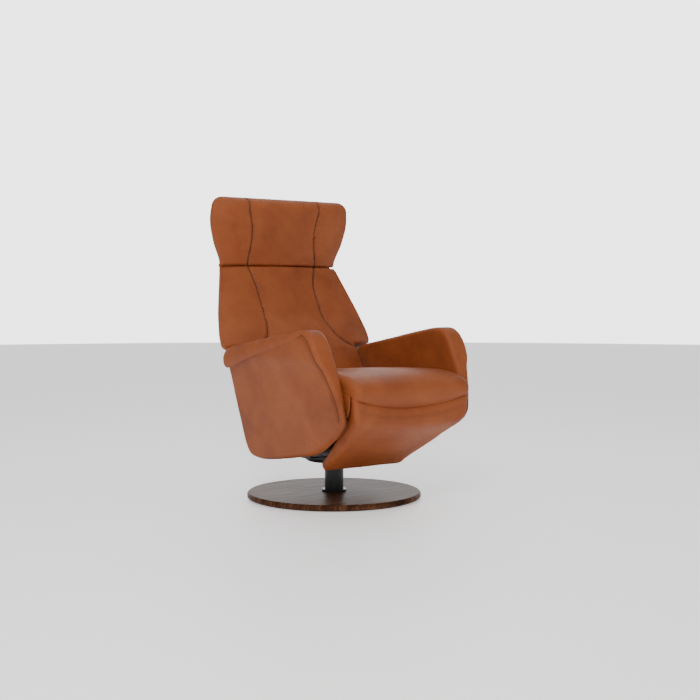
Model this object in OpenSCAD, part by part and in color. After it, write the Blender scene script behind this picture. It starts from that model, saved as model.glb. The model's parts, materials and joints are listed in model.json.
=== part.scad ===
// Swivel recliner armchair with a reclining back, a tilting headrest and a fold-under footrest.
// Millimetres. X is the sitter's left, -Y is the front, Z is up. Origin: floor, under the column.

/* [Base] */
// Diameter of the round base plate
base_d = 600; // [520:10:720]
// Thickness of the wooden base plate
base_t = 20; // [16:1:28]
// Thickness of the felt under the base
felt_t = 3; // [2:1:5]
// Diameter of the steel ballast plate let into the base
ballast_d = 420; // [300:10:480]
// Thickness of the ballast plate
ballast_t = 8; // [5:1:10]
// Outside diameter of the column
column_d = 65; // [56:1:80]
// Wall of the column tube
column_wall = 3; // [2:0.5:5]
// Height of the column's top above the floor
column_top = 126; // [110:1:150]
// Diameter of the collar at the column's foot
flange_d = 84; // [80:1:110]
// Diameter of the swivel spindle
spindle_d = 40; // [32:1:44]

/* [Seat] */
// Width of the seat cushion
seat_w = 470; // [430:5:560]
// Height of the seat cushion's side edges at the front
seat_h = 446; // [430:1:470]
// Height of the cushion's underside
seat_under = 347; // [345:1:352]
// Gap between the seat cushion and each arm
seat_gap = 5; // [3:1:15]
// Thickness of the steel side rails
rail_t = 6; // [4:1:10]

/* [Arms] */
// Height of the arm's crest
arm_h = 588; // [560:1:620]
// Thickness of the arm's top roll
arm_t = 76; // [64:1:100]
// Thickness of the arm's plywood board
board_t = 12; // [9:1:18]

/* [Back] */
// Half width of the back at its flared lower corners
back_flare = 316; // [290:2:340]
// Half width at the neck
neck_half = 244; // [220:2:260]
// Lean of the back from upright, in degrees
back_lean = 25.5; // [20:0.5:30]
// Thickness of the padded band round the back's edge
band_t = 40; // [30:1:60]
// Gap between each neck cushion and the headrest's hinge line
neck_gap = 8; // [8:1:12]
// Travel of the back, in degrees
recline_max = 35; // [20:1:38]

/* [Headrest] */
// Height of the headrest
head_h = 244; // [200:2:280]
// Half width of the headrest's wings
head_half = 292; // [260:2:310]

/* [Footrest] */
// Half width of the footrest's lower end
foot_half = 160; // [130:2:170]
// Width of each hinge bracket plate
bracket_t = 6; // [4:1:8]

/* [Fits] */
// Radial running clearance of pins and spindle
run_fit = 0.05; // [0.02:0.01:0.1]
// Gap between parts that move past each other
move_gap = 2; // [1:0.5:3]

/* [Hidden] */
$fn = 48;
eps = 0.5;

leather = [0.60, 0.33, 0.20];
shadow_leather = [0.48, 0.26, 0.16];
walnut = [0.30, 0.17, 0.10];
steel = [0.16, 0.16, 0.17];
zinc = [0.62, 0.63, 0.65];
plywood = [0.80, 0.66, 0.46];
plastic = [0.10, 0.10, 0.11];

// Column and swivel heights
disc_z = felt_t;
disc_top = disc_z + base_t;
flange_t = 7;
bolt_r = 4;
bolt_circle = 25;
bush_h = 18;
bush_foot = 12;
clip_t = 3;
washer_t = 2;
dish_z = column_top + washer_t + 0.2;
dish_r = 104;
dish_wall = 4;
dish_h = 32;
plate_z = dish_z + dish_h;
plate_t = 5;
carrier_bolt_circle = 88;

// Side rails
seat_half = seat_w / 2;
rail_in = seat_half - 61;
rail_out = rail_in + rail_t;
frame_t = 20;
strap_t = 2;
frame_z = seat_under - 2 * strap_t - frame_t - 1;
tube_r = 12;
tube_z = frame_z - 14;
cable_r = 2.5;
cable_pass_back = [-168, 283];
cable_pass_foot = [-290, 290];
tube_front_y = -320;
tube_rear_y = 15;

// Pivots, as [y, z]
back_pivot = [140, 380];
foot_pivot = [-414, 352];
pin_r = 6;
ear_r = 20;
foot_ear_r = 9;

// Back: the parting plane holds the recline pivot and ends at the neck
back_len = 468;
neck = [back_pivot[0] + back_len * sin(back_lean), back_pivot[1] + back_len * cos(back_lean)];
head_lean = 6.8;
hinge_x = 130;
knuckle_r = 6;
knuckle_pin_r = 3;
knuckle_w = 22;

// Gas spring: its line is square to the lever at mid travel
lever_r = 52;
lever_rest = -51;
lever_pin_r = 5;
spring_base = [-100, 230];
lever_pin_at = back_pivot + lever_r * [cos(lever_rest), sin(lever_rest)];
spring_dir = lever_pin_at - spring_base;
spring_len = norm(spring_dir);
spring_angle = atan2(spring_dir[1], spring_dir[0]);
rod_stroke = 2 * lever_r * sin(recline_max / 2);
cylinder_r = 11;
rod_r = 5;
cylinder_len = 190;
eye_t = 8;

// Release buttons on the right arm's inner face
button_at = [-215, 505];
button_pitch = 32;
button_r = 9;
button_travel = 4;
housing_t = 16;

// Arm faces, as [height, half width] seen from the front
arm_inner = [[140, seat_half - 50], [230, seat_half - 27], [300, seat_half - 3],
  [335, seat_half + seat_gap], [600, seat_half + seat_gap + 6]];
arm_outer = [[140, seat_half - 9], [250, seat_half + 12], [335, seat_half + 30], [456, seat_half + 58],
  [500, seat_half + seat_gap + arm_t - 4], [540, seat_half + seat_gap + arm_t],
  [600, seat_half + seat_gap + arm_t - 6]];
arm_rear_y = 226;
arm_rim = 16;
arm_lean = 13.6;
arm_board_foot = [seat_half - 27, 185];
arm_tube_z = 250;
arm_tube_y = [-120, 110];
arm_tube_r = 11;

// A closed solid through rings with equally many points, anticlockwise seen from the last ring
module loft(rings) {
  n = len(rings[0]);
  m = len(rings);
  first_mid = [for (k = [0:2]) [for (p = rings[0]) p[k]] * [for (p = rings[0]) 1] / n];
  last_mid = [for (k = [0:2]) [for (p = rings[m - 1]) p[k]] * [for (p = rings[m - 1]) 1] / n];
  sides = [for (i = [0:m - 2], j = [0:n - 1]) let (k = (j + 1) % n, a = i * n, b = a + n)
    each [[a + j, b + k, a + k], [a + j, b + j, b + k]]];
  first_cap = [for (j = [0:n - 1]) [m * n, j, (j + 1) % n]];
  last_cap = [for (j = [0:n - 1]) [m * n + 1, (m - 1) * n + (j + 1) % n, (m - 1) * n + j]];
  polyhedron([each [for (r = rings) each r], first_mid, last_mid], [each sides, each first_cap, each last_cap]);
}

// Point p moved a distance d towards point c
function towards(p, c, d) = p + (c - p) * min(1, d / max(0.001, norm(c - p)));

// A padded slab with rounded rims. The outline in Y and Z runs anticlockwise seen from +X.
// Each table gives a face's X by height, and shares are how far in the face's own rings lie.
module slab(outline, core, low_x, high_x, rim, shares = []) {
  steps = [0, 30, 60, 90];
  places = [for (i = [0:len(outline) - 1]) i];
  left_face = [for (f = shares) [for (i = places) let (q = outline[i] + (core[i] - outline[i]) * f)
    [lookup(q[1], low_x), q[0], q[1]]]];
  left = [for (a = steps) [for (i = places) let (q = towards(outline[i], core[i], rim * (1 - sin(a))))
    [lookup(q[1], low_x) + rim * (1 - cos(a)), q[0], q[1]]]];
  right = [for (s = [3:-1:0]) let (a = steps[s])
    [for (i = places) let (q = towards(outline[i], core[i], rim * (1 - sin(a))))
      [lookup(q[1], high_x) - rim * (1 - cos(a)), q[0], q[1]]]];
  right_face = [for (k = [len(shares) - 1:-1:0]) [for (i = places)
    let (q = outline[i] + (core[i] - outline[i]) * shares[k]) [lookup(q[1], high_x), q[0], q[1]]]];
  loft([each left_face, each left, each right, each (shares == [] ? [] : right_face)]);
}

function negated(table) = [for (t = table) [t[0], -t[1]]];
function middle(points) = [for (k = [0:1]) [for (p = points) p[k]] * [for (p = points) 1] / len(points)];

// Cylinder along X, centred on [y, z], from x0 to x1
module bar(at, r, x0, x1) {
  translate([x0, at[0], at[1]]) rotate([0, 90, 0]) cylinder(r = r, h = x1 - x0);
}

// Plate in the YZ plane from x0 to x1
module plate(outline, x0, x1) {
  translate([x0, 0, 0]) rotate([90, 0, 90]) linear_extrude(x1 - x0) polygon(outline);
}

module both_sides() {
  children();
  mirror([1, 0, 0]) children();
}

// Local frames
module on_back() {
  translate([0, neck[0], neck[1]]) rotate([-back_lean, 0, 0]) children();
}

module on_head() {
  translate([0, neck[0], neck[1]]) rotate([head_lean, 0, 0]) children();
}

module on_spring() {
  translate([0, spring_base[0], spring_base[1]]) rotate([spring_angle - 90, 0, 0]) children();
}

module on_arm() {
  translate([arm_board_foot[0], 0, arm_board_foot[1]]) rotate([0, arm_lean, 0]) children();
}

module bolt_ring(circle_r, r, z, h) {
  for (a = [45:90:315]) rotate([0, 0, a]) translate([circle_r, 0, z]) cylinder(r = r, h = h);
}

// ---- Base ----
module base_felt() {
  color(plastic) cylinder(d = base_d - 30, h = felt_t, $fn = 120);
}

module ballast_plate() {
  color(zinc) difference() {
    translate([0, 0, felt_t]) cylinder(d = ballast_d, h = ballast_t, $fn = 120);
    bolt_ring(bolt_circle, bolt_r, 0, disc_top);
  }
}

module base_disc() {
  r = base_d / 2;
  edge = base_t / 4;
  outline = [[0, disc_z], [r - edge, disc_z], [r, disc_z + edge], [r, disc_top - edge],
    [r - edge, disc_top], [0, disc_top]];
  color(walnut) difference() {
    rotate_extrude($fn = 120) polygon(outline);
    translate([0, 0, disc_z - eps]) cylinder(d = ballast_d, h = ballast_t + eps, $fn = 120);
    bolt_ring(bolt_circle, bolt_r, 0, disc_top + eps);
  }
}

module base_bolts() {
  head_h = 4;
  color(zinc) difference() {
    bolt_ring(bolt_circle, bolt_r, disc_z, disc_top + flange_t - 2 - disc_z);
    bolt_ring(bolt_circle, bolt_r / 2, disc_z - eps, head_h - 1);
  }
}

module column_flange() {
  color(steel) difference() {
    translate([0, 0, disc_top]) cylinder(d = flange_d, h = flange_t);
    bolt_ring(bolt_circle, bolt_r, disc_top - eps, flange_t - 2 + eps);
  }
}

module column_tube() {
  tube_foot = disc_top + flange_t;
  color(steel) difference() {
    translate([0, 0, tube_foot]) cylinder(d = column_d, h = column_top - tube_foot);
    translate([0, 0, tube_foot - eps]) cylinder(d = column_d - 2 * column_wall, h = column_top);
  }
}

module bush(z) {
  color(plastic) difference() {
    translate([0, 0, z]) cylinder(d = column_d - 2 * column_wall, h = bush_h);
    translate([0, 0, z - eps]) cylinder(r = spindle_d / 2 + run_fit, h = bush_h + 2 * eps);
  }
}

module bush_lower() {
  bush(disc_top + flange_t + bush_foot);
}

module bush_upper() {
  bush(column_top - bush_h);
}

module thrust_washer() {
  color(zinc) difference() {
    translate([0, 0, column_top]) cylinder(d = column_d - 1, h = washer_t);
    translate([0, 0, column_top - eps]) cylinder(r = spindle_d / 2 + 1, h = washer_t + 2 * eps);
  }
}

// ---- Swivelling under-seat mechanism ----
module swivel_spindle() {
  foot = disc_top + flange_t + 2;
  color(zinc) translate([0, 0, foot]) cylinder(d = spindle_d, h = plate_z - foot);
}

module spindle_clip() {
  color(steel) difference() {
    translate([0, 0, disc_top + flange_t + bush_foot - clip_t - 1]) cylinder(d = spindle_d + 10, h = clip_t);
    translate([0, 0, disc_top]) cylinder(d = spindle_d, h = column_top);
  }
}

module carrier_dish() {
  round_r = 20;
  flat_r = dish_r - round_r;
  bowl = [[spindle_d / 2, dish_z], [flat_r, dish_z],
    each [for (a = [-75:15:0]) [flat_r + round_r * cos(a), dish_z + round_r * (1 + sin(a))]],
    [dish_r, dish_z + dish_h], [dish_r - dish_wall, dish_z + dish_h],
    [dish_r - dish_wall, dish_z + round_r], [flat_r, dish_z + dish_wall],
    [column_d / 2 + 2, dish_z + dish_wall], [column_d / 2, dish_z + dish_h],
    [spindle_d / 2, dish_z + dish_h]];
  color(steel) difference() {
    union() {
      rotate_extrude($fn = 96) polygon(bowl);
      bolt_ring(carrier_bolt_circle, 13, dish_z + round_r, dish_h - round_r);
    }
    bolt_ring(carrier_bolt_circle, bolt_r, dish_z + round_r - eps, dish_h);
  }
}

module mechanism_plate() {
  color(steel) difference() {
    translate([-rail_in, -115, plate_z]) cube([2 * rail_in, 285, plate_t]);
    bolt_ring(carrier_bolt_circle, bolt_r, plate_z - eps, plate_t + 2 * eps);
  }
}

module carrier_bolts() {
  color(zinc) {
    bolt_ring(carrier_bolt_circle, bolt_r, plate_z - 10, plate_t + 10);
    bolt_ring(carrier_bolt_circle, bolt_r * 1.8, plate_z + plate_t, 5);
  }
}

module side_rail() {
  low = plate_z - 2;
  outline = [[-110, low], [172, low], [186, 220], [back_pivot[0] + 18, back_pivot[1]],
    [back_pivot[0] - 18, back_pivot[1]], [96, frame_z], [-345, frame_z],
    [foot_pivot[0] + 6, foot_pivot[1] + 6], [foot_pivot[0] - 4, foot_pivot[1] - 6],
    [-340, tube_z - 18], [-220, tube_z - 55], [-150, 205]];
  color(steel) difference() {
    union() {
      plate(outline, rail_in, rail_out);
      bar(back_pivot, ear_r, rail_in, rail_out);
      bar(foot_pivot, foot_ear_r, rail_in, rail_out);
    }
    bar(back_pivot, pin_r, rail_in - 1, rail_out + 1);
    bar(foot_pivot, pin_r, rail_in - 1, rail_out + 1);
    bar([-20, 235], 28, rail_in - 1, rail_out + 1);
    bar([60, 235], 28, rail_in - 1, rail_out + 1);
    for (at = [cable_pass_back, cable_pass_foot])
      bar(at, cable_r + 1.5, rail_in - 1, rail_out + 1);
  }
}

module rail_left() {
  side_rail();
}

module rail_right() {
  mirror([1, 0, 0]) side_rail();
}

module cross_tube(y) {
  color(steel) difference() {
    bar([y, tube_z], tube_r, -rail_in, rail_in);
    bar([y, tube_z], tube_r - 2, -rail_in - 1, rail_in + 1);
  }
}

module cross_tube_front() {
  cross_tube(tube_front_y);
}

module cross_tube_rear() {
  cross_tube(tube_rear_y);
}

seat_front_y = -366;
seat_rear_y = 88;
frame_bar = 46;

module seat_frame() {
  color(plywood) difference() {
    translate([-seat_half + 12, seat_front_y, frame_z])
      cube([2 * seat_half - 24, seat_rear_y - seat_front_y, frame_t]);
    translate([-seat_half + 12 + frame_bar, seat_front_y + frame_bar, frame_z - eps])
      cube([2 * (seat_half - 12 - frame_bar), seat_rear_y - seat_front_y - 2 * frame_bar, frame_t + 2 * eps]);
    both_sides() side_rail();
  }
}

module seat_webbing() {
  strap_w = 50;
  top = frame_z + frame_t;
  color(plastic) {
    for (x = [-130:65:130])
      translate([x - strap_w / 2, seat_front_y + 10, top])
        cube([strap_w, seat_rear_y - seat_front_y - 20, strap_t]);
    for (y = [seat_front_y + 60:80:seat_rear_y - 60])
      translate([-seat_half + 25, y - strap_w / 2, top + strap_t])
        cube([2 * seat_half - 50, strap_w, strap_t]);
  }
}

module seat_cushion() {
  top = seat_h;
  outline = [[96, seat_under], [100, top - 50], [98, top - 22], [80, top - 12], [0, top - 2], [-110, top + 6],
    [-220, top + 9], [-300, top + 8], [-365, top + 1], [-400, top - 6], [-425, top - 18], [-440, top - 34],
    [-446, top - 48], [-440, top - 60], [-430, top - 68], [-410, top - 72], [-392, seat_under + 14],
    [-384, seat_under]];
  mid = [for (p = outline) [min(70, max(-395, p[0])), top - 48]];
  wide = [[0, seat_half], [1000, seat_half]];
  color(leather) slab(outline, mid, negated(wide), wide, 16);
}

// ---- Arms ----
arm_outline = [[-385, 286], [-340, 256], [-280, 222], [-215, 190], [-160, 176], [-84, 163],
  [0, 150], [92, 138], [160, 140], [190, 152], [204, 180], [210, 220], [221, 335],
  [arm_rear_y, arm_h - 132], [216, arm_h - 104], [196, arm_h - 82], [160, arm_h - 70],
  [80, arm_h - 54], [-10, arm_h - 38], [-100, arm_h - 21], [-180, arm_h - 8], [-235, arm_h],
  [-272, arm_h], [-296, arm_h - 12], [-315, 555], [-340, 510], [-368, 450], [-391, 390],
  [-404, 330], [-399, 302]];

module arm_fill() {
  c = middle(arm_outline);
  slab(arm_outline, [for (p = arm_outline) c], arm_inner, arm_outer, arm_rim, [0.75, 0.5, 0.25]);
}

module arm_board_shape() {
  outline = [[-325, 105], [-290, 330], [-235, 368], [150, 300], [185, 240], [165, 5], [-185, 12]];
  on_arm() plate(outline, 0, board_t);
}

module arm_bracket_shape(extra) {
  color(steel) {
    on_arm() translate([-rail_t + 2, -150, 30]) cube([rail_t - 2, 290, 80]);
    for (y = arm_tube_y) bar([y, arm_tube_z], arm_tube_r + extra, rail_out, arm_board_foot[0] + 14);
  }
}

module arm_bolt_set(extra) {
  for (y = [-130, 0, 120], h = [92])
    on_arm() translate([-rail_t - 1, y, h]) rotate([0, 90, 0]) {
      cylinder(r = bolt_r, h = rail_t + board_t);
      cylinder(r = bolt_r * 1.7 + extra, h = 3);
    }
}

module arm() {
  color(leather) difference() {
    arm_fill();
    arm_board_shape();
    arm_bracket_shape(1);
    arm_bolt_set(0.5);
  }
}

module arm_board() {
  color(plywood) difference() {
    arm_board_shape();
    arm_bolt_set(0);
  }
}

module arm_bracket() {
  color(steel) difference() {
    arm_bracket_shape(0);
    arm_board_shape();
    arm_bolt_set(0);
  }
}

module arm_left() {
  arm();
}

module arm_right() {
  color(leather) difference() {
    mirror([1, 0, 0]) arm();
    housing_block();
  }
}

module arm_board_left() {
  arm_board();
}

module arm_board_right() {
  mirror([1, 0, 0]) arm_board();
}

module arm_bracket_left() {
  arm_bracket();
}

module arm_bracket_right() {
  mirror([1, 0, 0]) arm_bracket();
}

module arm_bolts() {
  color(zinc) both_sides() arm_bolt_set(0);
}

// ---- Release buttons, in the right arm's inner face ----
housing_x = -(seat_half + seat_gap + 3);
module housing_block() {
  translate([housing_x - housing_t, button_at[0] - 42, button_at[1] - 16])
    cube([housing_t + 4, 84, 32]);
}

module button_pair_bores(r, x0, x1) {
  for (s = [-1, 1])
    bar([button_at[0] + s * button_pitch / 2, button_at[1]], r, x0, x1);
}

module button_housing() {
  color(plastic) difference() {
    housing_block();
    button_pair_bores(button_r + run_fit, housing_x - housing_t + 3, housing_x + 10);
  }
}

module button(side) {
  back = housing_x - housing_t + 3 + button_travel + 1;
  color(zinc) bar([button_at[0] + side * button_pitch / 2, button_at[1]], button_r, back, housing_x + 7);
}

module button_back() {
  button(1);
}

module button_footrest() {
  button(-1);
}

// A round cable swept along a route, with a ring of eight points at each place
function unit(v) = v / norm(v);
function along(route, i) = unit(route[min(i + 1, len(route) - 1)] - route[max(i - 1, 0)]);

module cable(route) {
  aside = [0.2, 1, 0.3];
  rings = [for (i = [0:len(route) - 1])
    let (t = along(route, i), u = unit(cross(t, aside)), v = cross(t, u))
    [for (a = [0:45:315]) route[i] + cable_r * (u * cos(a) + v * sin(a))]];
  color(plastic) loft(rings);
}

cable_start_x = housing_x - housing_t / 2;
cable_start_z = button_at[1] - 16;
cable_beside = -(seat_half + 6);
cable_below = -(seat_half - 6);
rail_outside = -(rail_out + 10);
rail_inside = -(rail_in - 10);

module release_cable_back() {
  cable([[cable_start_x, button_at[0] + button_pitch / 2, cable_start_z], [cable_beside, -195, 350],
    [cable_below, -190, 316], [rail_outside, each cable_pass_back], [rail_inside, each cable_pass_back],
    [-0.23 * rail_in, -150, 262], [0, spring_base[0] - 14, spring_base[1] + 14]]);
}

module release_cable_footrest() {
  cable([[cable_start_x, button_at[0] - button_pitch / 2, cable_start_z], [cable_beside, -240, 350],
    [cable_below, -255, 316], [rail_outside, each cable_pass_foot], [rail_inside, each cable_pass_foot],
    [-0.86 * rail_in, -320, 287], [-0.57 * rail_in, -350, 300], [-0.34 * rail_in, -358, 312],
    [-18, seat_front_y + 4, frame_z - 4]]);
}

// ---- Gas spring that carries and locks the back ----
module back_pivot_pins() {
  color(zinc) both_sides() {
    bar(back_pivot, pin_r, rail_in - move_gap - bracket_t - 2, rail_out);
    bar(back_pivot, pin_r * 1.6, rail_out, rail_out + 4);
  }
}

cap_t = 4;
module gas_spring_cylinder() {
  color(steel) difference() {
    union() {
      on_spring() translate([0, 0, 14]) cylinder(r = cylinder_r, h = cylinder_len - 14);
      on_spring() cylinder(r = eye_t / 2, h = 20);
      bar(spring_base, 9, -eye_t / 2, eye_t / 2);
    }
    on_spring() translate([0, 0, 24]) cylinder(r = cylinder_r - 2, h = cylinder_len - 24 - cap_t);
    on_spring() translate([0, 0, 24]) cylinder(r = rod_r + run_fit, h = cylinder_len);
    bar(spring_base, lever_pin_r, -eye_t, eye_t);
  }
}

module gas_spring_rod() {
  slot_half = 3;
  play = 0.6;
  piston_z = 24 + rod_stroke + 20;
  color(zinc) difference() {
    union() {
      on_spring() translate([0, 0, piston_z]) cylinder(r = rod_r, h = spring_len - 8 - piston_z);
      on_spring() translate([0, 0, piston_z]) cylinder(r = cylinder_r - 2 - run_fit, h = 10);
      bar(lever_pin_at, 13, -eye_t / 2, eye_t / 2);
    }
    on_spring() translate([-eye_t, -slot_half, spring_len - lever_pin_r - play])
      cube([2 * eye_t, 2 * slot_half, 2 * (lever_pin_r + play)]);
    for (s = [-1, 1])
      on_spring() translate([-eye_t, s * slot_half, spring_len]) rotate([0, 90, 0])
        cylinder(r = lever_pin_r + play, h = 2 * eye_t);
  }
}

module spring_anchor() {
  ear_t = 4;
  inner = eye_t / 2 + 1;
  foot = plate_z + plate_t;
  color(steel) {
    both_sides() difference() {
      union() {
        plate([[spring_base[0] - 14, foot], [spring_base[0] + 24, foot], [spring_base[0] + 10, spring_base[1]],
          [spring_base[0] - 10, spring_base[1]]], inner, inner + ear_t);
        bar(spring_base, 10, inner, inner + ear_t);
      }
      bar(spring_base, lever_pin_r, inner - 1, inner + ear_t + 1);
    }
    bar(spring_base, lever_pin_r, -inner - ear_t, inner + ear_t);
  }
}

// ---- Footrest hinge parts on the seat ----
shaft_end = rail_out + 3;
module footrest_shaft() {
  color(zinc) bar(foot_pivot, pin_r, -shaft_end, shaft_end);
}

// Two torsion springs that lift the footrest, drawn as their wound sleeves
module footrest_springs() {
  color(steel) both_sides() difference() {
    bar(foot_pivot, pin_r + 2, 60, 110);
    bar(foot_pivot, pin_r + 0.5, 59, 111);
  }
}

// Sealed lock on the hinge shaft, held by an arm from the seat frame
module footrest_lock() {
  color(steel) difference() {
    union() {
      bar(foot_pivot, pin_r + 2, -30, 30);
      plate([[foot_pivot[0] + 4, foot_pivot[1] - 7], [seat_front_y - 4, frame_z - 8],
        [seat_front_y + 30, frame_z - 8], [seat_front_y + 30, frame_z], [seat_front_y, frame_z],
        [seat_front_y, frame_z + 14], [foot_pivot[0] + 6, foot_pivot[1] + 4]], -15, 15);
    }
    bar(foot_pivot, pin_r, -31, 31);
  }
}

// Leather-covered board that closes the seat behind the mechanism
module rear_apron() {
  low = plate_z + 2;
  high = frame_z + 2;
  inset = 6;
  y = arm_rear_y - 30;
  color(shadow_leather) translate([0, y, 0]) rotate([90, 0, 0]) linear_extrude(8)
    polygon([[-lookup(low, arm_inner) + inset, low], [lookup(low, arm_inner) - inset, low],
      [lookup(high, arm_inner) - inset, high], [-lookup(high, arm_inner) + inset, high]]);
}

// ---- Back ----
foot_z = -(back_len - 26);
back_half = [[foot_z - 30, seat_half - 7], [-332, seat_half - 4], [-314, back_flare - 8], [-302, back_flare],
  [-204, neck_half + 0.79 * (back_flare - neck_half)], [-104, neck_half + 0.42 * (back_flare - neck_half)],
  [0, neck_half]];
back_crown = [[foot_z, 38], [-420, 48], [-350, 44], [-278, 36], [-204, 27], [-104, 24], [-30, 22], [-6, 12]];
back_bulge = [[foot_z, 10], [-300, 26], [-150, 34], [0, 26]];
back_levels = [foot_z, -420, -380, -332, -314, -302, -278, -240, -204, -150, -104, -60, -30, -14, -neck_gap];

function front_ring(z, half, crown) = [for (i = [0:14]) let (u = i / 7 - 1)
  [u * half, -crown * (1 - pow(abs(u), 4)), z]];

// A ring bulging to the rear, whose front edge lies at y = front
function rear_ring(z, half, depth, bulge, front) = [for (i = [0:18]) let (a = i * 10)
  [half * cos(a), i % 18 == 0 ? front : (depth + bulge * pow(sin(a), 2)) * pow(sin(a), 0.3), z]];

shell_wall = 12;

module back_cushion() {
  color(leather) on_back()
    loft([for (z = back_levels) front_ring(z, lookup(z, back_half), lookup(z, back_crown))]);
}

// The shell is open at the front and at both ends
module back_shell() {
  color(shadow_leather) on_back() difference() {
    loft([for (z = back_levels) rear_ring(z, lookup(z, back_half), band_t, lookup(z, back_bulge), 0)]);
    loft([for (z = [foot_z - 20, -420, -332, -314, -302, -204, -104, 10])
      rear_ring(z, lookup(z, back_half) - shell_wall, band_t - shell_wall, lookup(z, back_bulge), -1)]);
  }
}

// The board's outline in the back's own plane
module back_plank() {
  lower = seat_half - 26;
  side = back_flare - 24;
  outline = [[-neck_half + 22, -12], [-side, -290], [-side, -298], [-lower, -318], [-lower, foot_z + 6],
    [lower, foot_z + 6], [lower, -318], [side, -298], [side, -290], [neck_half - 22, -12]];
  translate([0, board_t, 0]) rotate([90, 0, 0]) linear_extrude(board_t) polygon(outline);
}

module back_board() {
  color(plywood) on_back() difference() {
    back_plank();
    for (z = [-330, -230, -130]) translate([0, -1, z]) rotate([-90, 0, 0]) cylinder(r = 34, h = board_t + 2);
  }
}

bracket_out = rail_in - move_gap;
bracket_in = bracket_out - bracket_t;
module back_bracket() {
  color(steel) difference() {
    on_back() union() {
      plate([[-8, -back_len + 12], [board_t, foot_z + 4], [board_t, -240], [board_t + 12, -250],
        [board_t + 12, -420], [18, -back_len]], bracket_in, bracket_out);
      bar([0, -back_len], ear_r, bracket_in, bracket_out);
    }
    bar(back_pivot, pin_r + run_fit, bracket_in - 1, bracket_out + 1);
  }
}

module back_bracket_left() {
  back_bracket();
}

module back_bracket_right() {
  mirror([1, 0, 0]) back_bracket();
}

module recline_shaft() {
  lever_in = eye_t / 2 + 1.5;
  lever_out = lever_in + 5;
  color(steel) difference() {
    union() {
      bar(back_pivot, 14, -bracket_in, bracket_in);
      both_sides() {
        bar(lever_pin_at, 10, lever_in, lever_out);
        translate([lever_in, back_pivot[0], back_pivot[1]]) rotate([lever_rest, 0, 0])
          translate([0, 0, -10]) cube([lever_out - lever_in, lever_r, 20]);
      }
    }
    bar(back_pivot, pin_r + 1.5, -bracket_in - 1, bracket_in + 1);
    bar(lever_pin_at, lever_pin_r, -lever_out - 1, lever_out + 1);
  }
}

module lever_pin() {
  color(zinc) bar(lever_pin_at, lever_pin_r, -13, 13);
}

// ---- Headrest ----
head_wing = [[0, neck_half], [24, neck_half + 8], [90, neck_half + 0.66 * (head_half - neck_half)],
  [168, head_half], [206, head_half - 4], [head_h - 14, head_half - 18], [head_h - 4, head_half - 34],
  [head_h, head_half - 52]];
head_crown = [[0, 14], [10, 20], [60, 30], [120, 32], [190, 24], [head_h - 14, 14], [head_h, 4]];
head_depth = [[0, 40], [60, 48], [180, 50], [head_h - 14, 40], [head_h, 16]];
head_levels = [neck_gap, 14, 30, 60, 90, 130, 168, 195, head_h - 24, head_h - 12, head_h - 4, head_h];

module headrest_cushion() {
  color(leather) on_head()
    loft([for (z = head_levels) front_ring(z, lookup(z, head_wing), lookup(z, head_crown))]);
}

// The shell is open at the front and at the neck
module headrest_shell() {
  bulge = 16;
  color(shadow_leather) on_head() difference() {
    loft([for (z = head_levels) rear_ring(z, lookup(z, head_wing), lookup(z, head_depth), bulge, 0)]);
    loft([for (z = [-10, 40, 90, 168, head_h - 30])
      rear_ring(z, lookup(z, head_wing) - shell_wall, lookup(z, head_depth) - shell_wall, bulge, -1)]);
  }
}

module head_plank() {
  outline = [[-neck_half + 24, 16], [-head_half + 40, 150], [-head_half + 60, head_h - 34],
    [head_half - 60, head_h - 34], [head_half - 40, 150], [neck_half - 24, 16]];
  translate([0, board_t, 0]) rotate([90, 0, 0]) linear_extrude(board_t) polygon(outline);
}

module headrest_board() {
  color(plywood) on_head() head_plank();
}

// A hinge leaf screwed to the rear of a board: up = 1 on the headrest, -1 on the back
module hinge_leaf(up) {
  leaf_t = 3;
  both_sides() translate([hinge_x - knuckle_w, 0, 0]) {
    translate([0, board_t, up > 0 ? 4 : -60]) cube([2 * knuckle_w, leaf_t, 56]);
    translate([0, 0, up > 0 ? 4 : -11]) cube([2 * knuckle_w, board_t + leaf_t, 7]);
  }
}

module knuckles(x0, x1) {
  both_sides() bar(neck, knuckle_r, hinge_x + x0, hinge_x + x1);
}

module headrest_hinge_lower() {
  color(steel) difference() {
    union() {
      on_back() hinge_leaf(-1);
      knuckles(-knuckle_w, -8);
      knuckles(8, knuckle_w);
    }
    both_sides() bar(neck, knuckle_r + 0.5, hinge_x - 8, hinge_x + 8);
    both_sides() bar(neck, knuckle_pin_r, hinge_x - knuckle_w - 1, hinge_x + knuckle_w + 1);
  }
}

module headrest_hinge_pins() {
  color(zinc) both_sides() bar(neck, knuckle_pin_r, hinge_x - knuckle_w, hinge_x + knuckle_w);
}

module headrest_hinge_upper() {
  color(steel) difference() {
    union() {
      difference() {
        on_head() hinge_leaf(1);
        both_sides() bar(neck, knuckle_r + 0.5, hinge_x - knuckle_w - 1, hinge_x + knuckle_w + 1);
      }
      on_head() both_sides() translate([hinge_x - 7.5, -2, 2]) cube([15, 8, 6]);
      knuckles(-7.5, 7.5);
    }
    both_sides() bar(neck, knuckle_pin_r + run_fit, hinge_x - knuckle_w - 1, hinge_x + knuckle_w + 1);
  }
}

// ---- Footrest ----
board_top = [-385, 318];
board_end = [-165, 150];
board_dir = board_top - board_end;
board_len = norm(board_dir);
foot_angle = atan2(board_dir[1], board_dir[0]) - 90;
foot_wide = [[120, foot_half], [345, seat_half - 7]];

module on_foot() {
  translate([0, board_end[0], board_end[1]]) rotate([foot_angle, 0, 0]) children();
}

module footrest_board() {
  low = foot_half - 14;
  high = seat_half - 30;
  color(plywood) difference() {
    on_foot() rotate([90, 0, 0]) linear_extrude(board_t)
      polygon([[-low, 4], [low, 4], [high, board_len - 4], [-high, board_len - 4]]);
    foot_screw_set();
  }
}

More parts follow.
